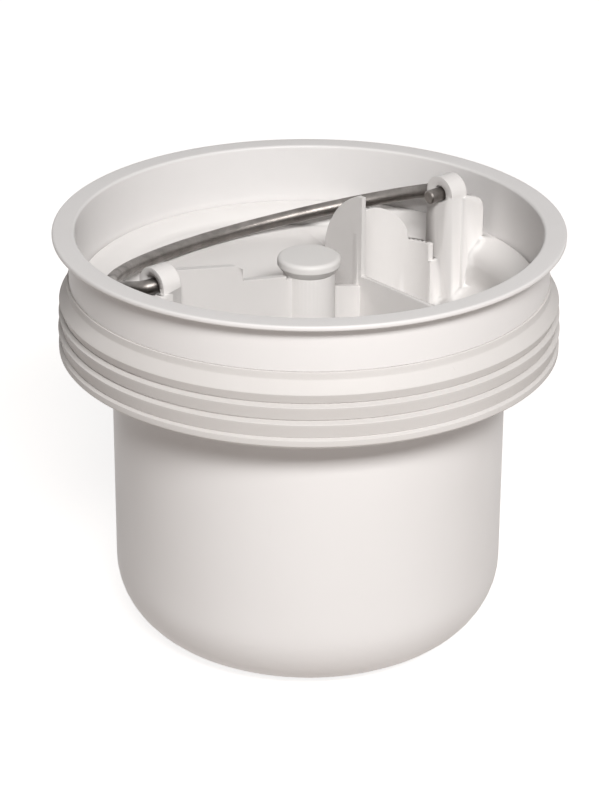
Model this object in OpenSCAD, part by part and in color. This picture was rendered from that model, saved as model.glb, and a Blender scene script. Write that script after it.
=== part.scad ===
// Cup-type water trap insert for a floor drain. Millimetres, +Z up, X along the bail's pivots.
// The origin is the centre of the bowl's flat underside.

/* [Trap body] */
// Overall height, from the bowl's underside to the rim's upper face
body_h = 120.8; // [110:0.2:140]
// Wall thickness of the moulded body
body_wall = 2; // [1.6:0.1:2.4]
// Inside diameter of the collar
mouth_d = 129.4; // [126:0.2:140]
// How far the rim flange stands out from the collar
rim_overhang = 4.3; // [2:0.1:8]
// Thickness of the rim flange
rim_t = 1.5; // [1.2:0.1:3]
// Depth of the seal's recess below the rim
recess_depth = 14.5; // [12:0.1:17]
// How far that recess is cut into the collar
recess_in = 0.8; // [0.4:0.1:1]
// Depth of the shoulder inside the collar that carries the lift-out insert
seat_depth = 18.6; // [18.4:0.1:20]
// Width of that shoulder
seat_w = 2.1; // [1.8:0.1:3]
// Depth of the collar's floor below the rim, where the bowl begins
collar_depth = 36.6; // [34:0.2:40]
// How far the bowl's side lies inside the collar's inner face
bowl_step = 9.3; // [8:0.05:14]
// Radius of the round between the bowl's side and its underside
bowl_corner_r = 21; // [15:0.5:30]

/* [Outlet window] */
// Width of the outlet window in the back of the bowl
outlet_w = 62; // [40:1:76]
// Height of the outlet window
outlet_h = 16; // [12:0.5:20]
// Depth of the window's upper edge below the rim
outlet_depth = 41; // [40:0.5:46]
// Radius of the window's corners
outlet_corner_r = 5; // [2:0.5:7]

/* [Lip seal] */
// Height of the seal sleeve
seal_h = 22; // [20.5:0.1:22]
// How far the lips stand out beyond the collar
lip_reach = 3.4; // [2.4:0.1:4.5]
// How much less each lip reaches than the one below it
lip_lean = 0.25; // [0:0.05:0.5]
// How far each lip's face leans in towards the groove below it
lip_tilt = 0.9; // [0:0.1:1.1]
// Height of the plain neck above the flare
neck_h = 2; // [1:0.1:3]
// Depth of the flare's lower edge below the top of the sleeve
flare_h = 4.9; // [4:0.1:6]
// Depth of the first groove below the top of the sleeve
first_groove = 8.4; // [7.6:0.1:8.8]
// Distance from one groove to the next
groove_pitch = 4.7; // [4:0.05:4.8]
// Depth of the grooves between the lips
groove_cut = 1.3; // [0.6:0.1:1.5]

/* [Lift-out insert] */
// Depth of the flange that rests on the shoulder, below the rim
flange_depth = 17; // [16:0.1:17.2]
// Wall thickness of the insert
insert_wall = 1.8; // [1.4:0.1:2.2]
// Gap between the insert's skirt and the body
skirt_gap = 0.3; // [0.2:0.05:0.5]
// Gap between the dip tube and the bowl's side
dip_gap = 4.4; // [3:0.05:8]
// Gap between the dip tube's lower edge and the bowl's floor
dip_clearance = 12; // [10:0.5:20]
// Depth of the funnel's lower edge below the rim
funnel_depth = 36.4; // [35:0.2:39]
// Depth of the roof over the outlet side at the partition, below the rim
roof_depth = 27; // [26:0.2:29]
// Gap between the roof and the folded bail that lies over it
roof_gap = 0.4; // [0.3:0.1:1.5]
// Thickness of the partition
partition_t = 2; // [1.6:0.1:2.6]

/* [Ears and bail] */
// Depth of the bail's pivots below the rim
pivot_depth = 3.2; // [2:0.1:5]
// Gap between the ears' outer faces and the collar
ear_gap = 9; // [9:0.1:12]
// Thickness of each ear
ear_t = 5.8; // [5.4:0.2:9]
// Width of each ear, which ends in a round top
ear_w = 10.4; // [9.4:0.2:12]
// Diameter of the bail's wire
wire_d = 4; // [3:0.1:4.4]
// Radial clearance of the wire in the ears
pivot_clearance = 0.08; // [0.05:0.01:0.1]
// Gap between each leg of the bail and the ear's outer face
leg_gap = 0.3; // [0.2:0.1:0.8]
// Gap between the middle of the folded bail's arch and the collar
arch_gap = 15.1; // [12:0.1:18]
// Angle below level at which the folded bail lies, in degrees
bail_fold = 18.5; // [17:0.5:20]
// Angle over which each shoulder of the arch bends before the flatter crown
shoulder_angle = 37; // [33:1:44]
// Radius of the bend between each leg and its tip
tip_bend_r = 4; // [3:0.2:4.4]
// How far the left tip stops short of its ear's inner face
tip_short = 0.6; // [0.2:0.1:2]
// How far the right tip stands out of its ear's inner face
tip_out = 4.4; // [0:0.1:6]

/* [Wall, fin and rib] */
// Inner radius of the rounded wall
niche_r = 13; // [11:0.5:13.5]
// Depth of the rounded wall's upper edge below the rim
niche_depth = 7.8; // [6:0.2:9]
// Radius of the round at the far end of that edge
niche_corner_r = 8; // [4:0.5:9]
// Height of the fin's point above the rim
fin_rise = 3.6; // [1:0.2:5]
// Radius of the fin's curved edge
fin_r = 21.8; // [20:0.2:24]
// Depth of the cross rib's upper edge below the rim
rib_depth = 20; // [19:0.2:22]
// Height of the cross rib
rib_h = 22; // [18:0.5:30]

/* [Post and plug] */
// Outside diameter of the hollow centre post
post_d = 14.6; // [13:0.2:16]
// Inside diameter of the hollow centre post
post_bore = 9; // [7:0.2:11]
// Diameter of the plug's cap
cap_d = 17.8; // [16.6:0.2:20]
// Thickness of the plug's cap
cap_t = 4.8; // [3.5:0.1:6]
// Height of the cap's upright edge, above its conical underside
cap_edge_h = 2.6; // [2:0.1:3]
// Depth of the cap's upper face below the rim
cap_depth = 8.8; // [7:0.2:10]
// Length of the plug's shank
shank_l = 12; // [8:0.5:16]

/* [Hidden] */
$fn = 96;

white = [0.93, 0.92, 0.90];
rubber_white = [0.88, 0.87, 0.85];
steel = [0.55, 0.54, 0.52];

// Body
mouth_r = mouth_d / 2;
collar_r = mouth_r + body_wall;
rim_r = collar_r + rim_overhang;
seat_r = mouth_r - seat_w;
recess_r = collar_r - recess_in;
bowl_r = mouth_r - bowl_step;
bowl_in_r = bowl_r - body_wall;
recess_z = body_h - recess_depth;
seat_z = body_h - seat_depth;
collar_z = body_h - collar_depth;
collar_in_z = collar_z + body_wall;

// Seal
seal_low_z = recess_z - seal_h;
lip_r = collar_r + lip_reach;

// Insert
flange_t = seat_depth - flange_depth;
flange_z = seat_z + flange_t;
flange_r = mouth_r - 0.35;
skirt_r = seat_r - skirt_gap;
skirt_low_z = collar_in_z + 3;
dip_r = bowl_in_r - dip_gap;
dip_in_r = dip_r - insert_wall;
dip_low_z = body_wall + dip_clearance;
funnel_z = body_h - funnel_depth;
floor_t = insert_wall * 1.3;
roof_z = body_h - roof_depth;
ring_section_r = 1.2;
ring_r = seat_r - 0.05 - ring_section_r;
ring_z = skirt_low_z + 4;
groove_half = ring_section_r + 0.15;
groove_floor_r = ring_r - ring_section_r - 0.05;
skirt_in_r = groove_floor_r - 1.2;
cone_r = skirt_r - 1.2;

// Ears and bail
pivot_z = body_h - pivot_depth;
ear_out = mouth_r - ear_gap;
ear_in = ear_out - ear_t;
ear_r = ear_w / 2;
wire_r = wire_d / 2;
hole_r = wire_r + pivot_clearance;
mouth_hole_r = hole_r + 1.2;
inner_hole_r = hole_r + 0.5;
leg_x = ear_out + leg_gap + wire_r;
bend_x = leg_x - tip_bend_r;
mouth_hole_depth = max(0.6, ear_out - bend_x - 0.4);
left_tip_x = ear_in + tip_short;
right_tip_x = ear_in - tip_out;

// Well of the insert: a floor that slopes down to the dip tube and just clears the collar's floor,
// an upright wall that meets the ears' outer faces, and a sloping shoulder up to the flange
well_r = ear_out - 0.2;
floor_slope = (collar_in_z + 0.35 + floor_t - funnel_z) / (bowl_in_r - dip_in_r);
well_z = funnel_z + (well_r - dip_in_r) * floor_slope;
shoulder_r_low = well_r + 0.6;
shoulder_z = flange_z - 4.2;

// Middle of the well's wall, as points of radius and height
well_mid = [
    [dip_in_r, funnel_z - floor_t / 2],
    [well_r + insert_wall / 2, well_z - floor_t / 4],
    [shoulder_r_low + insert_wall / 2, shoulder_z - insert_wall / 2],
    [cone_r, flange_z - insert_wall / 2]];

// The arch is a flatter crown between two tighter shoulders that meet it at the same slope
leg_l = 1;
leg_end_y = tip_bend_r + leg_l;
bail_rise = (mouth_r - arch_gap - wire_r) / cos(bail_fold);
arch_rise = bail_rise - leg_end_y;
arch_k = (1 - sin(shoulder_angle)) / cos(shoulder_angle);
shoulder_r = (arch_rise - leg_x * arch_k) / (1 - arch_k);
shoulder_x = leg_x - shoulder_r;
crown_r = shoulder_r + shoulder_x / cos(shoulder_angle);

// The roof rises from the partition to lie just under the folded bail
arch_y = bail_rise * cos(bail_fold);
arch_z = pivot_z - bail_rise * sin(bail_fold);
roof_slope = (arch_z - wire_r - roof_gap - roof_z) / arch_y;

// Fin, rounded wall and rib
niche_x = dip_in_r - insert_wall * 2 / 3 - niche_r;
fin_x = niche_x - niche_r - 0.2;
fin_t = insert_wall - 0.4;
fin_front = -1.4;
fin_point_y = 0.7;
fin_centre_z = body_h - 16.5;
fin_centre_y = fin_point_y - sqrt(fin_r * fin_r - pow(body_h + fin_rise - fin_centre_z, 2));

// Partition: depths of its upper edge below the rim, from the left ear to the rounded wall
arm_top = 0;
arm_low = 4.9;
arm_end_x = -25;
step_top = 9.7;
step_low = 12.7;
sill_top = 19.5;
sill_low = 23;

// Rounded wall's floor, which drains to the inlet side
niche_floor_z = funnel_z - 20;

// Post and plug
post_r = post_d / 2;
cap_r = cap_d / 2;
cap_top_z = body_h - cap_depth;
post_top_z = cap_top_z - cap_t;
post_low_z = roof_z - 34;

// Radius of the middle of the well's wall at height z
function mid_r(z) = lookup(z, [for (p = well_mid) [p[1], p[0]]]);

// Height of the middle of the well's wall at radius r
function mid_z(r) = lookup(r, well_mid);

// Points on a circle of radius r round (cx, cz), from angle a to angle b
function arc(cx, cz, r, a, b, n = 12) =
    [for (i = [0:n]) [cx + r * cos(a + (b - a) * i / n), cz + r * sin(a + (b - a) * i / n)]];

// Block w by h with upright edges of radius r, extruded by t
module rounded_block(w, h, r, t) {
    linear_extrude(t) {
        square([w - 2 * r, h], center = true);
        square([w, h - 2 * r], center = true);
        for (sx = [-1, 1], sy = [-1, 1])
            translate([sx * (w / 2 - r), sy * (h / 2 - r)]) circle(r);
    }
}

// Block over the half y > 0 or y < 0 of the mouth, from z = low up to high
module half_block(side, low, high) {
    translate([-mouth_d, side > 0 ? 0 : -mouth_d, low]) cube([2 * mouth_d, mouth_d, high - low]);
}

module body_outline() {
    // Outer skin from the rim down, then the inner skin back up
    polygon(concat(
        [[0, 0]],
        arc(bowl_r - bowl_corner_r, bowl_corner_r, bowl_corner_r, -90, 0),
        [[bowl_r, collar_z], [recess_r, collar_z], [recess_r, recess_z], [collar_r, recess_z],
         [collar_r, body_h - rim_t - 1.2]],
        arc(collar_r + 1.2, body_h - rim_t - 1.2, 1.2, 180, 90, 6),
        arc(rim_r - 0.6, body_h - rim_t + 0.6, 0.6, -90, 0, 6),
        arc(rim_r - 0.6, body_h - 0.6, 0.6, 0, 90, 6),
        arc(mouth_r + 0.8, body_h - 0.8, 0.8, 90, 180, 6),
        [[mouth_r, seat_z], [seat_r, seat_z], [seat_r, collar_in_z],
         [bowl_in_r, collar_in_z]],
        arc(bowl_in_r - bowl_corner_r + body_wall, bowl_corner_r, bowl_corner_r - body_wall, 0, -90),
        [[0, body_wall]]));
}

module trap_body() {
    color(white) difference() {
        rotate_extrude() body_outline();
        translate([0, 0, body_h - outlet_depth - outlet_h / 2])
            rotate([-90, 0, 0]) rounded_block(outlet_w, outlet_h, outlet_corner_r, bowl_r + 5);
    }
}

module lip_seal_outline() {
    // Neck and flare on top, then three lips that lean in downwards, and a bead above the lead-in
    top = recess_z;
    inner_r = recess_r + 0.05;
    face = [for (i = [0:2]) lip_r - (2 - i) * lip_lean];
    groove = [for (i = [0:2]) top - first_groove - i * groove_pitch];
    bead_low = max(groove[2] - 2.4, seal_low_z + 0.6);
    polygon(concat(
        [[inner_r, seal_low_z],
         [collar_r - 0.3, seal_low_z],
         [face[2] - 0.4, bead_low],
         [face[2] - 0.1, bead_low + 0.4],
         [face[2] - 0.1, groove[2] - 0.4],
         [face[2] - lip_tilt - 0.3, groove[2]],
         [face[2] - lip_tilt, groove[2] + 0.3]],
        [for (i = [1, 0], p = [
            [face[i + 1], groove[i] - 0.5],
            [face[i] - lip_tilt - groove_cut / 2, groove[i]],
            [face[i] - lip_tilt, groove[i] + 0.5]]) p],
        [[face[0], top - flare_h - 0.5],
         [face[0] - 0.3, top - flare_h],
         [collar_r + 0.6, top - neck_h],
         [collar_r + 0.5, top],
         [inner_r, top]]));
}

module lip_seal() {
    color(rubber_white) rotate_extrude() lip_seal_outline();
}

module funnel_ring() {
    // The well's wall and floor, with the flange and the grooved skirt that centre it in the body
    wall_out_r = well_r + insert_wall;
    function floor_low(r) = funnel_z + (r - dip_in_r) * floor_slope - floor_t;
    rotate_extrude() polygon([
        [dip_in_r, funnel_z - floor_t - 1],
        [dip_r, funnel_z - floor_t - 1],
        [dip_r, floor_low(dip_r)],
        [wall_out_r, floor_low(wall_out_r)],
        [wall_out_r, shoulder_z - insert_wall - 0.4],
        [skirt_in_r, shoulder_z - insert_wall - 0.4],
        [skirt_in_r, skirt_low_z],
        [skirt_r, skirt_low_z],
        [skirt_r, ring_z - groove_half],
        [groove_floor_r, ring_z - groove_half],
        [groove_floor_r, ring_z + groove_half],
        [skirt_r, ring_z + groove_half],
        [skirt_r, seat_z],
        [flange_r, seat_z],
        [flange_r, flange_z - 0.4],
        [flange_r - 0.4, flange_z],
        [cone_r, flange_z],
        [shoulder_r_low, shoulder_z],
        [well_r, well_z],
        [dip_in_r, funnel_z]]);
}

module dip_tube() {
    // Half-round tube on the inlet side, closed towards the outlet side by the partition
    difference() {
        translate([0, 0, dip_low_z]) cylinder(r = dip_r, h = funnel_z - dip_low_z);
        translate([0, 0, dip_low_z - 1]) cylinder(r = dip_in_r, h = funnel_z - dip_low_z + 2);
        half_block(1, 0, body_h);
    }
}

module partition() {
    // Upright wall across the middle; its upper edge steps down from the left ear to the sill
    sill_z = body_h - sill_low;
    tube_x = dip_in_r + insert_wall / 3;
    cap_side_x = -cap_r - 0.3;
    under_cap_z = post_top_z - 0.4;
    translate([0, partition_t / 2, 0]) rotate([90, 0, 0]) linear_extrude(partition_t)
        polygon([
            [-tube_x, dip_low_z],
            [tube_x, dip_low_z],
            [tube_x, funnel_z],
            well_mid[1],
            [mid_r(sill_z), sill_z],
            [fin_x - fin_t, sill_z],
            [post_r - 1, body_h - sill_top],
            [-1, body_h - sill_top],
            [-1, under_cap_z],
            [cap_side_x, under_cap_z],
            [cap_side_x, body_h - step_low],
            [arm_end_x, body_h - step_top],
            [arm_end_x, body_h - arm_low - 1.4],
            [arm_end_x - 2, body_h - arm_low],
            [-ear_in, body_h - arm_top],
            [-ear_out + 1, body_h - arm_top],
            [-ear_out + 1, mid_z(ear_out - 1)],
            [-tube_x, funnel_z]]);
}

module roof() {
    // Sloping cover over the outlet side, from the partition to the well's wall
    low = roof_z - insert_wall - 1;
    high = roof_z + 12;
    well_corner_z = max(low + 0.1, well_mid[1][1]);
    intersection() {
        rotate_extrude() polygon(concat(
            [[0, low]],
            [for (z = [low, well_corner_z, well_mid[2][1], high]) [mid_r(z), z]],
            [[0, high]]));
        translate([-mouth_r, 0, 0]) rotate([90, 0, 90]) linear_extrude(mouth_d)
            polygon([
                [0, roof_z - insert_wall],
                [mouth_r, roof_z - insert_wall + mouth_r * roof_slope],
                [mouth_r, roof_z + mouth_r * roof_slope],
                [0, roof_z]]);
    }
}

module ear(side) {
    // Post with a round top; the post ends inside the well's floor
    rotate([0, 0, side > 0 ? 0 : 180]) {
        translate([ear_in, 0, pivot_z]) rotate([0, 90, 0]) cylinder(r = ear_r, h = ear_t);
        translate([0, ear_r, 0]) rotate([90, 0, 0]) linear_extrude(ear_w)
            polygon([
                [ear_in, mid_z(ear_in)],
                [ear_out, mid_z(ear_out)],
                [ear_out, pivot_z],
                [ear_in, pivot_z]]);
    }
}

module ear_hole(side) {
    // Hole for the wire, wider at both faces; the left one ends at the partition's arm
    start = side > 0 ? ear_in - 1 : ear_in;
    rotate([0, 0, side > 0 ? 0 : 180]) translate([0, 0, pivot_z]) rotate([0, 90, 0]) {
        translate([0, 0, start]) cylinder(r = hole_r, h = ear_out + 1 - start);
        translate([0, 0, start]) cylinder(r = inner_hole_r, h = ear_in + 0.6 - start);
        translate([0, 0, ear_out - mouth_hole_depth])
            cylinder(r = mouth_hole_r, h = mouth_hole_depth + 1);
    }
}

module stop_rib(side) {
    // Rib between the ear and the collar, which stops the raised bail in front
    rib_x = ear_out - 2;
    rib_end = flange_r - 3;
    rib_top = pivot_z - 0.8;
    rib_t = 2.6;
    corner_r = 4.5;
    mirror([side > 0 ? 0 : 1, 0, 0]) translate([0, -ear_r + rib_t / 2, 0])
        rotate([90, 0, 0]) linear_extrude(rib_t)
            polygon(concat(
                [[rib_x, mid_z(rib_x)], well_mid[1], well_mid[2], [rib_end, mid_z(cone_r)]],
                arc(rib_end - corner_r, rib_top - corner_r, corner_r, 0, 90, 10),
                [[rib_x, rib_top]]));
}

module rounded_wall() {
    // Half-tube that bulges towards the outlet side, with a floor; its edge rounds down at the far end
    top = body_h - niche_depth;
    shelf = top - niche_corner_r - 2;
    tall = body_h - niche_floor_z;
    corner_x = niche_x + niche_r - niche_corner_r - 2;
    difference() {
        translate([niche_x, 0, niche_floor_z - insert_wall])
            cylinder(r = niche_r + insert_wall, h = tall + insert_wall);
        translate([niche_x, 0, niche_floor_z]) cylinder(r = niche_r, h = tall + 1);
        half_block(-1, 0, body_h + 20);
        translate([0, mouth_r, 0]) rotate([90, 0, 0]) linear_extrude(mouth_d)
            polygon(concat(
                [[0, body_h + 5], [0, top]],
                arc(corner_x, top - niche_corner_r, niche_corner_r, 90, 0, 16),
                [[corner_x + niche_corner_r + 0.3, shelf], [mouth_r, shelf], [mouth_r, body_h + 5]]));
    }
}

module fin() {
    low = roof_z - 1;
    translate([fin_x - fin_t, 0, 0]) rotate([90, 0, 90]) linear_extrude(fin_t)
        intersection() {
            translate([fin_front, low]) square([fin_r, body_h + fin_rise - low]);
            union() {
                translate([fin_centre_y, fin_centre_z]) circle(fin_r);
                translate([fin_front, low])
                    square([fin_centre_y + fin_r - fin_front, fin_centre_z - low]);
            }
        }
}

module cross_rib() {
    // Rib from the partition to the well's wall, across the inlet opening
    top = body_h - rib_depth;
    low = top - rib_h;
    function side_y(r) = -sqrt(r * r - fin_x * fin_x);
    tube_y = side_y(dip_in_r + insert_wall / 3);
    translate([fin_x - fin_t, 0, 0]) rotate([90, 0, 90]) linear_extrude(fin_t)
        polygon([
            [0, low],
            [0, top],
            [side_y(mid_r(top)), top],
            [side_y(well_mid[2][0]), well_mid[2][1]],
            [side_y(well_mid[1][0]), well_mid[1][1]],
            [tube_y, funnel_z - 1],
            [tube_y, low]]);
}

module post() {
    translate([0, 0, post_low_z]) cylinder(r = post_r, h = post_top_z - post_low_z);
}

module dip_insert() {
    color(white) difference() {
        union() {
            funnel_ring();
            dip_tube();
            partition();
            roof();
            for (side = [-1, 1]) {
                ear(side);
                stop_rib(side);
            }
            rounded_wall();
            fin();
            cross_rib();
            post();
        }
        for (side = [-1, 1]) ear_hole(side);
        // The rounded wall's hollow and the post's bore stay open through the partition and the roof
        translate([niche_x, 0, niche_floor_z]) intersection() {
            cylinder(r = niche_r, h = body_h - niche_floor_z);
            translate([-niche_r - 1, -partition_t, 0])
                cube([2 * niche_r + 2, niche_r + partition_t + 1, body_h]);
        }
        translate([0, 0, post_low_z - 1]) cylinder(r = post_bore / 2, h = body_h - post_low_z);
    }
}

module insert_ring() {
    color(rubber_white) translate([0, 0, ring_z])
        rotate_extrude() translate([ring_r, 0]) circle(ring_section_r, $fn = 32);
}

// Arc of wire round the origin, from one angle to another
module wire_arc(radius, from, to, section_r) {
    rotate([0, 0, from]) rotate_extrude(angle = to - from)
        translate([radius, 0]) circle(section_r, $fn = 48);
}

module bail() {
    // The shoulders are a hair thinner and run a little way into the leg and the crown
    lap = 0.3;
    shoulder_wire_r = wire_r - 0.01;
    lap_angle = lap / shoulder_r * 180 / PI;
    color(steel) translate([0, 0, pivot_z]) rotate([-bail_fold, 0, 0]) {
        for (m = [0, 1]) mirror([m, 0, 0]) {
            tip_x = m == 0 ? right_tip_x : left_tip_x;
            translate([tip_x, 0, 0]) rotate([0, 90, 0])
                cylinder(r = wire_r, h = bend_x - tip_x, $fn = 48);
            translate([bend_x, tip_bend_r, 0]) wire_arc(tip_bend_r, -90, 0, wire_r);
            translate([leg_x, tip_bend_r, 0]) rotate([-90, 0, 0])
                cylinder(r = wire_r, h = leg_l, $fn = 48);
            translate([shoulder_x, leg_end_y, 0])
                wire_arc(shoulder_r, -lap_angle, shoulder_angle + lap_angle, shoulder_wire_r);
        }
        translate([0, bail_rise - crown_r, 0])
            wire_arc(crown_r, shoulder_angle, 180 - shoulder_angle, wire_r);
    }
}

module post_plug() {
    // Cap with an upright edge over a cone that tapers to the post, and a shank in the post's bore
    shank_r = post_bore / 2 - 0.1;
    color(white) rotate_extrude() polygon(concat(
        [[0, post_top_z - shank_l], [shank_r - 1, post_top_z - shank_l],
         [shank_r, post_top_z - shank_l + 1.5], [shank_r, post_top_z], [post_r, post_top_z],
         [cap_r, cap_top_z - cap_edge_h]],
        arc(cap_r - 1.4, cap_top_z - 1.4, 1.4, 0, 90, 8),
        [[0, cap_top_z]]));
}

trap_body();
lip_seal();
dip_insert();
insert_ring();
bail();
post_plug();
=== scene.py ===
"""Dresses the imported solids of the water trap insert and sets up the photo's view of it.

Sizes are in millimetres, in the shared frame: Z up from the bowl's foot, pivots along X."""

import math

import bmesh
import bpy
import numpy as np
from mathutils import Matrix, Vector


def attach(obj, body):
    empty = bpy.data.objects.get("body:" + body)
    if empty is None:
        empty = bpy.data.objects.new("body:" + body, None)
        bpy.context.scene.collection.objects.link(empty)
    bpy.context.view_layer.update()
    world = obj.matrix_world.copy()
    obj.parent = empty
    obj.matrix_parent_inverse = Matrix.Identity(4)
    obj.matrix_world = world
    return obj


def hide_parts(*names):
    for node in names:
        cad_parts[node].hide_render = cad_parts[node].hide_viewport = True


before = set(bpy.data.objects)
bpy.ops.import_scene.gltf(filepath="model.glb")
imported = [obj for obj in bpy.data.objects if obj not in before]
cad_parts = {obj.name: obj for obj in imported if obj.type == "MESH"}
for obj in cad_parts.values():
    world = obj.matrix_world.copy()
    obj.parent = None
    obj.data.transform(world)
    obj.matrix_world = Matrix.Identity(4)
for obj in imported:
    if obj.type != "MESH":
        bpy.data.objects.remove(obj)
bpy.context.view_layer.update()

MM = 0.001
RIM_Z = 120.8
RIM_R = 71.0
RIM_T = 1.5
COLLAR_R = 66.7
MOUTH_R = 64.7
SEAT_R, SEAT_Z = 62.6, RIM_Z - 18.6
RECESS_R, RECESS_Z = 65.9, RIM_Z - 14.5
LEDGE_Z = RIM_Z - 36.6
BOWL_R, BOWL_WALL, BOWL_CORNER = 55.4, 2.0, 21.0
WINDOW_W, WINDOW_H, WINDOW_TOP, WINDOW_CORNER = 62.0, 16.0, RIM_Z - 41, 5.0
PIVOT_Z = RIM_Z - 3.2
WIRE_R = 2.0
EAR_IN, EAR_OUT = 49.9, 55.7
CAP_TOP = RIM_Z - 8.8
SEAL_H, NECK_H, FLARE_H, FLARE_EDGE = 22.0, 2.0, 4.9, 0.5
FIRST_GROOVE, GROOVE_PITCH, GROOVES = 8.4, 4.7, 3
LIP_OUT, LIP_TILT = 3.4, 0.9
SMOOTH_ANGLE = math.radians(35)
ON_AXIS = 0.001


# Surfaces

def smooth_up_to(mesh, angle):
    """Shades a mesh smooth, with an edge left sharp wherever it turns by more than the angle."""
    mesh.polygons.foreach_set("use_smooth", np.ones(len(mesh.polygons), bool))
    mesh.set_sharp_from_angle(angle=angle)


def mesh_piece(name, points, faces):
    """One object at the origin from points in millimetres and a face list."""
    mesh = bpy.data.meshes.new(name)
    mesh.from_pydata((np.asarray(points) * MM).tolist(), [], faces)
    mesh.validate()
    piece = bpy.data.objects.new(name, mesh)
    bpy.context.scene.collection.objects.link(piece)
    smooth_up_to(mesh, SMOOTH_ANGLE)
    return piece


def face_outwards(piece):
    """Recalculates the face directions of a closed shell."""
    shell = bmesh.new()
    shell.from_mesh(piece.data)
    bmesh.ops.remove_doubles(shell, verts=shell.verts, dist=1e-7)
    bmesh.ops.recalc_face_normals(shell, faces=shell.faces)
    shell.to_mesh(piece.data)
    shell.free()


def ring_faces(rows, columns, close_rows):
    """Quads of a grid whose columns run round in a ring, and its rows too where that is asked."""
    r = np.arange(rows if close_rows else rows - 1)
    c = np.arange(columns)
    i, j = np.meshgrid(r, c, indexing="ij")
    i2, j2 = (i + 1) % rows, (j + 1) % columns
    quads = np.stack([i * columns + j, i * columns + j2, i2 * columns + j2, i2 * columns + j], -1)
    return quads.reshape(-1, 4).tolist()


def round_corners(corners, steps=6):
    """Outline through (r, z, radius) corners: each corner becomes an arc tangent to both its sides.

    The arc is a rational curve of second order, whose middle weighs the sine of half the corner."""
    keys = np.array([c[:2] for c in corners], float)
    radii = np.array([c[2] for c in corners], float)
    before, after = np.roll(keys, 1, 0) - keys, np.roll(keys, -1, 0) - keys
    len_a, len_b = np.linalg.norm(before, axis=1), np.linalg.norm(after, axis=1)
    a, b = before / len_a[:, None], after / len_b[:, None]
    half = np.arccos(np.clip((a * b).sum(1), -1, 1)) / 2
    reach = np.minimum(radii / np.tan(half), 0.49 * np.minimum(len_a, len_b))
    outline = []
    t = np.linspace(0, 1, steps + 1)[:, None]
    for k, corner in enumerate(keys):
        if reach[k] < 1e-6:
            outline.append(corner[None])
            continue
        start, end = corner + a[k] * reach[k], corner + b[k] * reach[k]
        pull = 2 * math.sin(half[k]) * t * (1 - t)
        blend = (1 - t) ** 2 + pull + t ** 2
        outline.append(((1 - t) ** 2 * start + pull * corner + t ** 2 * end) / blend)
    return np.concatenate(outline)


def spread_points(outline, longest, closed=True):
    """Adds points on an outline's long sides, so that no side is longer than asked."""
    ends = np.roll(outline, -1, 0)
    if not closed:
        ends = ends[:-1]
    made = []
    for start, end in zip(outline, ends):
        count = max(1, int(math.ceil(np.linalg.norm(end - start) / longest)))
        t = np.arange(count)[:, None] / count
        made.append(start + (end - start) * t)
    if not closed:
        made.append(outline[-1:])
    return np.concatenate(made)


def turned_points(outline, steps):
    """Points of an (r, z) outline carried round the upright axis: x = r cos a, y = r sin a, z = z."""
    angle = np.arange(steps) * 2 * math.pi / steps
    r, z = outline[:, 0][:, None], outline[:, 1][:, None]
    return np.stack([r * np.cos(angle), r * np.sin(angle), z + 0 * angle], -1).reshape(-1, 3)


def revolve(name, outline, steps=288):
    """Ring-shaped shell: a closed (r, z) outline carried round the upright axis."""
    piece = mesh_piece(name, turned_points(outline, steps), ring_faces(len(outline), steps, True))
    face_outwards(piece)
    return piece


def capped_revolve(name, outline, steps):
    """Open (r, z) outline from the axis back to the axis, carried round it, with a fan at each end."""
    body = outline[1:-1]
    points = turned_points(body, steps)
    faces = ring_faces(len(body), steps, False)
    first, last = len(points), len(points) + 1
    points = np.concatenate([points, [[0, 0, outline[0, 1]], [0, 0, outline[-1, 1]]]])
    ring = np.arange(steps)
    top = (len(body) - 1) * steps
    faces += np.stack([ring, np.full(steps, first), (ring + 1) % steps], -1).tolist()
    faces += np.stack([top + ring, top + (ring + 1) % steps, np.full(steps, last)], -1).tolist()
    piece = mesh_piece(name, points, faces)
    face_outwards(piece)
    return piece


def tube_along(name, path, radius, sides, chamfer):
    """Round section carried along a flat path in the X-Y plane, with a chamfer and a disc at both ends.

    Each point is path + radius * (side * cos a + up * sin a). The UV map holds the length along the
    wire in millimetres and the turn round it, which runs from 12 to 0 and back."""
    step = np.gradient(path, axis=0)
    along = step / np.linalg.norm(step, axis=1)[:, None]
    side = np.stack([-along[:, 1], along[:, 0], 0 * along[:, 0]], -1)
    up = np.array([0, 0, 1.0])
    run = np.concatenate([[0], np.cumsum(np.linalg.norm(np.diff(path, axis=0), axis=1))])
    from_end = np.minimum(run, run[-1] - run)
    section = np.minimum(radius, radius - chamfer + from_end)
    turn = np.arange(sides) * 2 * math.pi / sides
    ring = side[:, None] * np.cos(turn)[None, :, None] + up * np.sin(turn)[None, :, None]
    points = (path[:, None] + ring * section[:, None, None]).reshape(-1, 3)
    faces = ring_faces(len(path), sides, False)
    faces.append(list(range(sides))[::-1])
    faces.append([(len(path) - 1) * sides + i for i in range(sides)])
    tube = mesh_piece(name, points, faces)
    corner_points = np.zeros(len(tube.data.loops), int)
    tube.data.loops.foreach_get("vertex_index", corner_points)
    widest = 12.0
    round_it = np.abs((corner_points % sides) / sides * 2 - 1) * widest
    uv = tube.data.uv_layers.new(name="along_wire")
    uv.data.foreach_set("uv", np.stack([run[corner_points // sides], round_it], -1).ravel())
    return tube


def on_body(piece, body, node):
    """Puts a piece on its body, in place of its CAD node."""
    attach(piece, body)
    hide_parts(node)


# Materials

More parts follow.
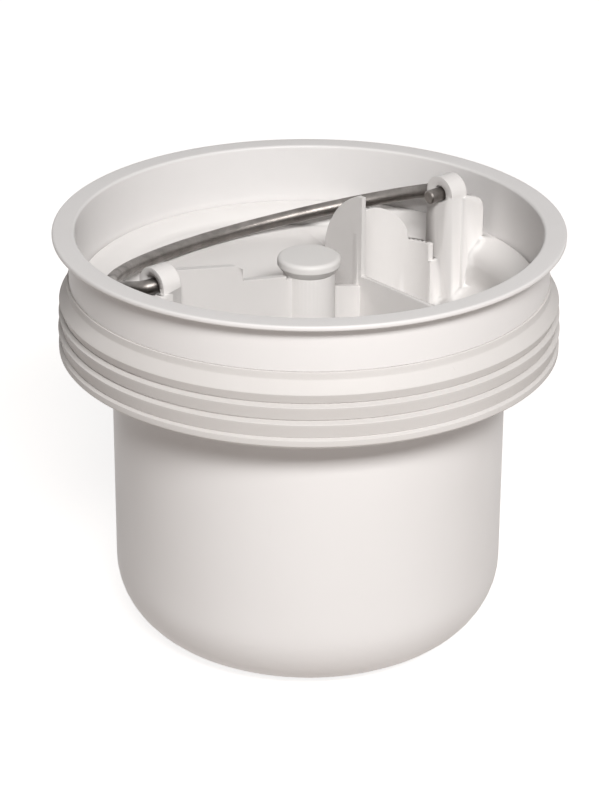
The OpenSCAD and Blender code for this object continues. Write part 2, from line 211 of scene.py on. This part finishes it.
def node_group(name, inputs, outputs):
    """Empty shader node group with named sockets; inputs are (name, kind, value)."""
    group = bpy.data.node_groups.new(name, "ShaderNodeTree")
    for label, kind, value in inputs:
        socket = group.interface.new_socket(label, in_out="INPUT", socket_type=kind)
        socket.default_value = value
    for label, kind in outputs:
        group.interface.new_socket(label, in_out="OUTPUT", socket_type=kind)
    source = group.nodes.new("NodeGroupInput")
    result = group.nodes.new("NodeGroupOutput")
    return group, source, result


def wire_up(tree, node, **values):
    """Sets or links a node's inputs by name; a space in a name is written as an underscore."""
    for label, value in values.items():
        socket = node.inputs[label.replace("_", " ")]
        if isinstance(value, bpy.types.NodeSocket):
            tree.links.new(value, socket)
        else:
            socket.default_value = value
    return node


def noise(tree, coords, scale, detail=3.0, roughness=0.55, distortion=0.0):
    node = tree.nodes.new("ShaderNodeTexNoise")
    wire_up(tree, node, Vector=coords, Scale=scale, Detail=detail, Roughness=roughness, Distortion=distortion)
    return node.outputs["Fac"]


def remap(tree, value, low, high, to_low=0.0, to_high=1.0):
    node = tree.nodes.new("ShaderNodeMapRange")
    for index, item in enumerate((value, low, high, to_low, to_high)):
        if isinstance(item, bpy.types.NodeSocket):
            tree.links.new(item, node.inputs[index])
        else:
            node.inputs[index].default_value = item
    return node.outputs[0]


def compute(tree, operation, *values):
    node = tree.nodes.new("ShaderNodeMath")
    node.operation = operation
    for index, item in enumerate(values):
        if isinstance(item, bpy.types.NodeSocket):
            tree.links.new(item, node.inputs[index])
        else:
            node.inputs[index].default_value = item
    return node.outputs[0]


def mix_colour(tree, factor, first, second):
    node = tree.nodes.new("ShaderNodeMix")
    node.data_type = "RGBA"
    for socket, item in ((node.inputs[0], factor), (node.inputs[6], first), (node.inputs[7], second)):
        if isinstance(item, bpy.types.NodeSocket):
            tree.links.new(item, socket)
        else:
            socket.default_value = item
    return node.outputs[2]


def moulding_effect():
    """Surface of a moulding: faint clouds of tone, fine grain, and rare scuffs and specks."""
    group, source, result = node_group(
        "moulding_surface",
        [("Colour", "NodeSocketColor", (0.8, 0.8, 0.8, 1)), ("Shade", "NodeSocketColor", (0.6, 0.6, 0.6, 1)),
         ("Cloud", "NodeSocketFloat", 0.2), ("Grain size", "NodeSocketFloat", 0.001),
         ("Scuffs", "NodeSocketFloat", 0.2), ("Gloss", "NodeSocketFloat", 0.4)],
        [("Colour", "NodeSocketColor"), ("Roughness", "NodeSocketFloat"), ("Height", "NodeSocketFloat")])
    coords = group.nodes.new("ShaderNodeTexCoord").outputs["Object"]
    grain_scale = compute(group, "DIVIDE", 1.0, source.outputs["Grain size"])
    cloud = noise(group, coords, 28.0, 4.0, 0.5, 0.3)
    fine = noise(group, coords, grain_scale, 2.0, 0.6)
    tone = remap(group, cloud, 0.3, 0.75)
    tone = compute(group, "MULTIPLY", tone, source.outputs["Cloud"])
    colour = mix_colour(group, tone, source.outputs["Colour"], source.outputs["Shade"])
    stretched = group.nodes.new("ShaderNodeMapping")
    stretched.inputs["Scale"].default_value = (1.0, 1.0, 0.12)
    stretched.inputs["Rotation"].default_value = (0.5, 0.3, 0.8)
    group.links.new(coords, stretched.inputs["Vector"])
    scratch = noise(group, stretched.outputs["Vector"], 900.0, 2.0, 0.5)
    where = remap(group, noise(group, coords, 60.0, 2.0), 0.55, 0.7)
    scuff = compute(group, "MULTIPLY", remap(group, scratch, 0.66, 0.72), where)
    scuff = compute(group, "MULTIPLY", scuff, source.outputs["Scuffs"])
    colour = mix_colour(group, scuff, colour, source.outputs["Shade"])
    group.links.new(colour, result.inputs["Colour"])
    rough = compute(group, "ADD", source.outputs["Gloss"], remap(group, cloud, 0.3, 0.7, -0.04, 0.06))
    rough = compute(group, "ADD", rough, compute(group, "MULTIPLY", scuff, 0.25))
    group.links.new(rough, result.inputs["Roughness"])
    dents = compute(group, "MULTIPLY", scuff, -0.6)
    height = compute(group, "ADD", compute(group, "MULTIPLY", fine, 0.5), dents)
    group.links.new(height, result.inputs["Height"])
    return group


def new_material(name):
    material = bpy.data.materials.new(name)
    material.use_nodes = True
    tree = material.node_tree
    tree.nodes.clear()
    output = tree.nodes.new("ShaderNodeOutputMaterial")
    shader = tree.nodes.new("ShaderNodeBsdfPrincipled")
    tree.links.new(shader.outputs[0], output.inputs["Surface"])
    return material, tree, shader


def place_effect(tree, group, **values):
    node = tree.nodes.new("ShaderNodeGroup")
    node.node_tree = group
    return wire_up(tree, node, **values)


def bump(tree, height, depth, **values):
    """Relief of the given depth in metres, laid over a normal where one is given."""
    node = tree.nodes.new("ShaderNodeBump")
    wire_up(tree, node, Height=height, Strength=1.0, Distance=depth, **values)
    return node.outputs["Normal"]


def seen_directly(tree):
    """One for a camera ray, a mirrored ray or a ray let through, and nought for the rest."""
    rays = tree.nodes.new("ShaderNodeLightPath")
    seen = compute(tree, "MAXIMUM", rays.outputs["Is Camera Ray"], rays.outputs["Is Glossy Ray"])
    return compute(tree, "MAXIMUM", seen, rays.outputs["Is Transmission Ray"])


MOULDING = moulding_effect()


def moulded_plastic(name, colour, shade, gloss):
    """White injection-moulded plastic with a half-matt skin and edges rounded by 0.3 mm."""
    material, tree, shader = new_material(name)
    skin = place_effect(tree, MOULDING, Colour=colour, Shade=shade, Cloud=0.3, Grain_size=0.0006,
                        Scuffs=0.35, Gloss=gloss)
    tree.links.new(skin.outputs["Colour"], shader.inputs["Base Color"])
    tree.links.new(skin.outputs["Roughness"], shader.inputs["Roughness"])
    shader.inputs["IOR"].default_value = 1.49
    shader.inputs["Specular IOR Level"].default_value = 0.3
    rounded = tree.nodes.new("ShaderNodeBevel")
    rounded.samples = 6
    rounded.inputs["Radius"].default_value = 0.0003
    relief = bump(tree, skin.outputs["Height"], 0.00002, Normal=rounded.outputs["Normal"])
    tree.links.new(relief, shader.inputs["Normal"])
    return material


def seal_rubber(name, colour, shade):
    """Pale matt rubber with a fine even grain and a faint bloom."""
    material, tree, shader = new_material(name)
    skin = place_effect(tree, MOULDING, Colour=colour, Shade=shade, Cloud=0.5, Grain_size=0.0004,
                        Scuffs=0.5, Gloss=0.55)
    tree.links.new(skin.outputs["Colour"], shader.inputs["Base Color"])
    tree.links.new(skin.outputs["Roughness"], shader.inputs["Roughness"])
    shader.inputs["IOR"].default_value = 1.45
    shader.inputs["Specular IOR Level"].default_value = 0.3
    tree.links.new(bump(tree, skin.outputs["Height"], 0.00003), shader.inputs["Normal"])
    return material


def drawn_steel(name):
    """Drawn steel wire: fine lines along the wire, a dull film and a few dark specks."""
    material, tree, shader = new_material(name)
    coords = tree.nodes.new("ShaderNodeTexCoord")
    stretch = (0.03, 1.0, 1.0)
    lines = tree.nodes.new("ShaderNodeMapping")
    lines.inputs["Scale"].default_value = stretch
    tree.links.new(coords.outputs["UV"], lines.inputs["Vector"])
    drawn = noise(tree, lines.outputs["Vector"], 30.0, 3.0, 0.6)
    film = noise(tree, coords.outputs["Object"], 140.0, 3.0, 0.6)
    base = mix_colour(tree, remap(tree, film, 0.35, 0.7), (0.25, 0.23, 0.215, 1), (0.12, 0.108, 0.10, 1))
    base = mix_colour(tree, remap(tree, drawn, 0.45, 0.75, 0.0, 0.4), base, (0.36, 0.34, 0.325, 1))
    tree.links.new(base, shader.inputs["Base Color"])
    shader.inputs["Metallic"].default_value = 1.0
    dull = remap(tree, film, 0.3, 0.7, 0.26, 0.40)
    rough = compute(tree, "ADD", dull, remap(tree, drawn, 0.3, 0.7, 0.0, 0.08))
    tree.links.new(rough, shader.inputs["Roughness"])
    tree.links.new(bump(tree, drawn, 0.00002), shader.inputs["Normal"])
    return material


body_white = moulded_plastic("body_white", (0.79, 0.775, 0.768, 1), (0.74, 0.717, 0.706, 1), 0.40)
insert_white = moulded_plastic("insert_white", (0.80, 0.78, 0.765, 1), (0.73, 0.705, 0.69, 1), 0.46)
plug_white = moulded_plastic("plug_white", (0.78, 0.765, 0.75, 1), (0.71, 0.69, 0.67, 1), 0.42)
# The seal's rubber is the body's white. Both colours here are set darker to paint the shade on the lips,
# whose faces lean down and away from the light.
lip_rubber_painted_shade = seal_rubber("lip_rubber_painted_shade", (0.68, 0.66, 0.645, 1), (0.61, 0.585, 0.565, 1))
ring_rubber = seal_rubber("ring_rubber", (0.10, 0.10, 0.105, 1), (0.06, 0.06, 0.062, 1))
wire_steel = drawn_steel("wire_steel")


# Pieces

def make_window_cutter():
    """Block with the window's rounded outline that passes through the bowl's back wall."""
    half_w, half_h, r = WINDOW_W / 2, WINDOW_H / 2, WINDOW_CORNER
    near_y, depth = 30, 40
    window = round_corners(
        [(-half_w, -half_h, r), (half_w, -half_h, r), (half_w, half_h, r), (-half_w, half_h, r)], 8)
    count = len(window)
    near = np.stack([window[:, 0], np.full(count, near_y), window[:, 1] + WINDOW_TOP - half_h], -1)
    far = near + np.array([0, depth, 0])
    k = np.arange(count)
    sides = np.stack([k, (k + 1) % count, (k + 1) % count + count, k + count], -1).tolist()
    ends = [list(range(count))[::-1], list(range(count, 2 * count))]
    cutter = mesh_piece("window_cutter", np.concatenate([near, far]), sides + ends)
    face_outwards(cutter)
    return cutter


def make_body():
    """Body: one closed outline of rim, collar and bowl, turned round, less the outlet window."""
    bore_r, bore_foot = BOWL_R - BOWL_WALL, LEDGE_Z + BOWL_WALL
    corners = [
        (ON_AXIS, 0, 0), (BOWL_R, 0, BOWL_CORNER), (BOWL_R, LEDGE_Z, 0.8), (RECESS_R, LEDGE_Z, 0.4),
        (RECESS_R, RECESS_Z, 0.1), (COLLAR_R, RECESS_Z, 0.25), (COLLAR_R, RIM_Z - RIM_T, 1.2),
        (RIM_R, RIM_Z - RIM_T, 0.6), (RIM_R, RIM_Z, 0.6), (MOUTH_R, RIM_Z, 0.8),
        (MOUTH_R, SEAT_Z, 0.3), (SEAT_R, SEAT_Z, 0.3), (SEAT_R, bore_foot, 1.0),
        (bore_r, bore_foot, 0.6), (bore_r, BOWL_WALL, BOWL_CORNER - BOWL_WALL), (ON_AXIS, BOWL_WALL, 0)]
    body = revolve("body_moulding", spread_points(round_corners(corners, 12), 4.0))
    cutter = make_window_cutter()
    cut = body.modifiers.new("window", "BOOLEAN")
    cut.object, cut.operation, cut.solver = cutter, "DIFFERENCE", "EXACT"
    view = bpy.context.evaluated_depsgraph_get()
    body_mesh = bpy.data.meshes.new_from_object(body.evaluated_get(view))
    body.modifiers.clear()
    body.data = body_mesh
    bpy.data.objects.remove(cutter)
    smooth_up_to(body_mesh, SMOOTH_ANGLE)
    body_mesh.materials.clear()
    body_mesh.materials.append(body_white)
    on_body(body, "trap", "trap_body")


def make_seal():
    """Seal: sleeve outline with a neck, a flare and lips that lean in downwards to a groove each,
    then a bead above the lead-in, turned round the axis."""
    inner = RECESS_R + 0.05
    lip = COLLAR_R + LIP_OUT
    face = [lip - 0.5, lip - 0.25, lip]
    foot = [r - LIP_TILT for r in face]
    groove = [RECESS_Z - FIRST_GROOVE - GROOVE_PITCH * i for i in range(GROOVES)]
    low = RECESS_Z - SEAL_H
    bead = groove[2] - 2.4
    edge = RECESS_Z - FLARE_H
    corners = [
        (inner, low, 0.1), (COLLAR_R - 0.3, low, 0.2), (face[2] - 0.4, bead, 0.3),
        (face[2] - 0.1, bead + 0.4, 0.3), (face[2] - 0.1, groove[2] - 0.4, 0.15),
        (foot[2] - 0.3, groove[2], 0.06), (foot[2], groove[2] + 0.3, 0.15),
        (face[2], groove[1] - 0.5, 0.2), (foot[1] - 0.65, groove[1], 0.08), (foot[1], groove[1] + 0.5, 0.2),
        (face[1], groove[0] - 0.5, 0.2), (foot[0] - 0.65, groove[0], 0.08), (foot[0], groove[0] + 0.5, 0.2),
        (face[0], edge - FLARE_EDGE, 0.25), (face[0] - 0.3, edge, 0.25),
        (COLLAR_R + 0.6, RECESS_Z - NECK_H, 1.0), (COLLAR_R + 0.5, RECESS_Z, 0.12), (inner, RECESS_Z, 0.1)]
    seal = revolve("seal_sleeve", spread_points(round_corners(corners, 5), 1.5))
    seal.data.materials.append(lip_rubber_painted_shade)
    on_body(seal, "trap", "lip_seal")


def make_plug():
    """Plug: shank, cone and low domed cap, turned round."""
    cap_r, cap_t, cap_edge, cap_dome = 8.9, 4.8, 2.6, 0.2
    shank_r, shank_l, post_r = 4.4, 12, 7.3
    low = CAP_TOP - cap_t
    corners = [
        (ON_AXIS, low - shank_l, 0), (shank_r, low - shank_l, 1.4), (shank_r, low, 0.1), (post_r, low, 0.15),
        (cap_r, CAP_TOP - cap_edge, 0.4), (cap_r, CAP_TOP - cap_dome, 1.4), (ON_AXIS, CAP_TOP, 0)]
    outline = spread_points(round_corners(corners, 8), 1.0, closed=False)
    plug = capped_revolve("plug_cap", outline, 128)
    plug.data.materials.append(plug_white)
    on_body(plug, "trap", "post_plug")


def arc_points(centre, radius, start, end, count):
    """Points of a flat arc: x = centre x + radius cos a, y = centre y + radius sin a."""
    angle = np.linspace(start, end, count)
    return np.stack([centre[0] + radius * np.cos(angle), centre[1] + radius * np.sin(angle)], -1)


def make_bail():
    """Bail: straight tips, tight elbows, short legs, round shoulders and a flatter crown.

    The path is drawn flat, the round section is carried along it, and the whole is turned down by the
    fold angle about the pivots. Shoulder and crown are arcs that meet at one slope."""
    fold = math.radians(18.5)
    crown_gap = 15.1
    elbow, leg, elbow_gap = 4.0, 1.0, 0.3
    left_short, right_out, tip_chamfer = 0.6, 4.4, 0.35
    leg_x = EAR_OUT + elbow_gap + WIRE_R
    rise = (MOUTH_R - crown_gap - WIRE_R) / math.cos(fold)
    slope = math.radians(37)
    arch = rise - elbow - leg
    k = (1 - math.sin(slope)) / math.cos(slope)
    shoulder = (arch - leg_x * k) / (1 - k)
    crown = shoulder + (leg_x - shoulder) / math.cos(slope)
    bend = arc_points((leg_x - elbow, elbow), elbow, -math.pi / 2, 0, 14)[1:]
    side = arc_points((leg_x - shoulder, elbow + leg), shoulder, 0, slope, 24)
    top = arc_points((0, rise - crown), crown, slope, math.pi / 2, 40)[1:]
    arm = np.concatenate([bend, side, top])
    from_tip = np.array([0, 0.12, 0.24, tip_chamfer, 1.0, 2.0])
    right, left = (np.append(tip_x + from_tip, leg_x - elbow)[:, None] * [1, 0]
                   for tip_x in (EAR_IN - right_out, EAR_IN + left_short))
    path = np.concatenate([right, arm, arm[-2::-1] * [-1, 1], left[::-1] * [-1, 1]])
    path = np.concatenate([path, np.zeros((len(path), 1))], 1)
    wire = tube_along("bail_wire", path, WIRE_R, 32, tip_chamfer)
    wire.data.transform(Matrix.Translation((0, 0, PIVOT_Z * MM)) @ Matrix.Rotation(-fold, 4, "X"))
    face_outwards(wire)
    wire.data.materials.append(wire_steel)
    on_body(wire, "bail", "bail")


def dress_node(node, material):
    """Copy of a CAD solid with its triangles joined, smoothed up to its edges and flat on its faces."""
    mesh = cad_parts[node].data.copy()
    shell = bmesh.new()
    shell.from_mesh(mesh)
    bmesh.ops.remove_doubles(shell, verts=shell.verts, dist=2e-6)
    bmesh.ops.dissolve_degenerate(shell, edges=shell.edges, dist=1e-6)
    shell.to_mesh(mesh)
    shell.free()
    mesh.name = node + "_dressed"
    mesh.materials.clear()
    mesh.materials.append(material)
    smooth_up_to(mesh, math.radians(28))
    piece = bpy.data.objects.new(node + "_dressed", mesh)
    bpy.context.scene.collection.objects.link(piece)
    flat = piece.modifiers.new("flat_faces", "WEIGHTED_NORMAL")
    flat.mode, flat.weight, flat.keep_sharp = "FACE_AREA", 100, True
    on_body(piece, "trap", node)


make_body()
make_seal()
make_plug()
make_bail()
dress_node("dip_insert", insert_white)
dress_node("insert_ring", ring_rubber)


# Floor, light and camera

def make_floor():
    """Wide pale floor that reads as white, with the object's shadow left on it."""
    bpy.ops.mesh.primitive_circle_add(vertices=96, radius=6.0, fill_type="NGON", location=(0, 0, 0))
    floor = bpy.context.object
    floor.name = "studio_floor"
    material, tree, shader = new_material("floor_white")
    shader.inputs["Base Color"].default_value = (0.52, 0.48, 0.455, 1)
    shader.inputs["Roughness"].default_value = 0.9
    glow = tree.nodes.new("ShaderNodeEmission")
    glow.inputs["Color"].default_value = (1, 1, 1, 1)
    strength = 0.82
    tree.links.new(compute(tree, "MULTIPLY", seen_directly(tree), strength), glow.inputs["Strength"])
    both = tree.nodes.new("ShaderNodeAddShader")
    tree.links.new(shader.outputs[0], both.inputs[0])
    tree.links.new(glow.outputs[0], both.inputs[1])
    tree.links.new(both.outputs[0], tree.nodes["Material Output"].inputs["Surface"])
    floor.data.materials.append(material)


def make_world(level):
    """Dim warm surroundings for shaded light, and plain white wherever they are seen."""
    world = bpy.data.worlds.new("studio")
    bpy.context.scene.world = world
    world.use_nodes = True
    tree = world.node_tree
    tree.nodes.clear()
    output = tree.nodes.new("ShaderNodeOutputWorld")
    ambient = tree.nodes.new("ShaderNodeBackground")
    ambient.inputs["Color"].default_value = (1.0, 0.91, 0.86, 1)
    ambient.inputs["Strength"].default_value = level
    white = tree.nodes.new("ShaderNodeBackground")
    white.inputs["Color"].default_value = (1, 1, 1, 1)
    mix = tree.nodes.new("ShaderNodeMixShader")
    tree.links.new(seen_directly(tree), mix.inputs[0])
    tree.links.new(ambient.outputs[0], mix.inputs[1])
    tree.links.new(white.outputs[0], mix.inputs[2])
    tree.links.new(mix.outputs[0], output.inputs["Surface"])


CAMERA_TURN, CAMERA_DOWN, CAMERA_ROLL = (math.radians(a) for a in (-41.4, 24.85, 0.23))
CAMERA_ACROSS, CAMERA_BACK, CAMERA_ABOVE_RIM = -0.0024, 0.7296, 0.2846
FILM, PHOTO_HEIGHT_PX, FOCAL_PX = 36.0, 800.0, 2831.0
SIGHT = Vector((-math.sin(CAMERA_TURN), math.cos(CAMERA_TURN), 0))
ACROSS = Vector((math.cos(CAMERA_TURN), math.sin(CAMERA_TURN), 0))


def softbox(name, turn, elevation, distance, size, power, colour):
    """Oblong area lamp aimed at the object; turn is to the right of the camera, in degrees."""
    data = bpy.data.lights.new(name, "AREA")
    data.shape = "RECTANGLE"
    data.size, data.size_y = size
    data.energy = power
    data.color = colour
    lamp = bpy.data.objects.new(name, data)
    bpy.context.scene.collection.objects.link(lamp)
    t, e = math.radians(turn), math.radians(elevation)
    toward = (-SIGHT * math.cos(t) + ACROSS * math.sin(t)) * math.cos(e) + Vector((0, 0, math.sin(e)))
    aim = Vector((0, 0, 0.08))
    lamp.location = aim + toward * distance
    lamp.rotation_mode = "QUATERNION"
    lamp.rotation_quaternion = (-toward).to_track_quat("-Z", "Y")


def make_camera():
    """Camera fitted to the photo: 783 mm from the rim's centre, looking down 24.85 degrees."""
    data = bpy.data.cameras.new("photo_camera")
    camera = bpy.data.objects.new("photo_camera", data)
    bpy.context.scene.collection.objects.link(camera)
    data.sensor_width = FILM
    data.lens = FILM * FOCAL_PX / PHOTO_HEIGHT_PX
    data.clip_start, data.clip_end = 0.05, 50.0
    forward = SIGHT * math.cos(CAMERA_DOWN) + Vector((0, 0, -math.sin(CAMERA_DOWN)))
    up = SIGHT * math.sin(CAMERA_DOWN) + Vector((0, 0, math.cos(CAMERA_DOWN)))
    right = ACROSS * math.cos(CAMERA_ROLL) + up * math.sin(CAMERA_ROLL)
    top = up * math.cos(CAMERA_ROLL) - ACROSS * math.sin(CAMERA_ROLL)
    height = Vector((0, 0, CAMERA_ABOVE_RIM + RIM_Z * MM))
    place = ACROSS * CAMERA_ACROSS - SIGHT * CAMERA_BACK + height
    camera.matrix_world = Matrix((
        (right.x, top.x, -forward.x, place.x),
        (right.y, top.y, -forward.y, place.y),
        (right.z, top.z, -forward.z, place.z),
        (0, 0, 0, 1)))
    bpy.context.scene.camera = camera


make_floor()
make_world(0.10)
softbox("key", 12, 39.5, 1.6, (0.85, 0.28), 27, (1.0, 0.99, 0.982))
make_camera()
bpy.context.scene.view_settings.view_transform = "Standard"
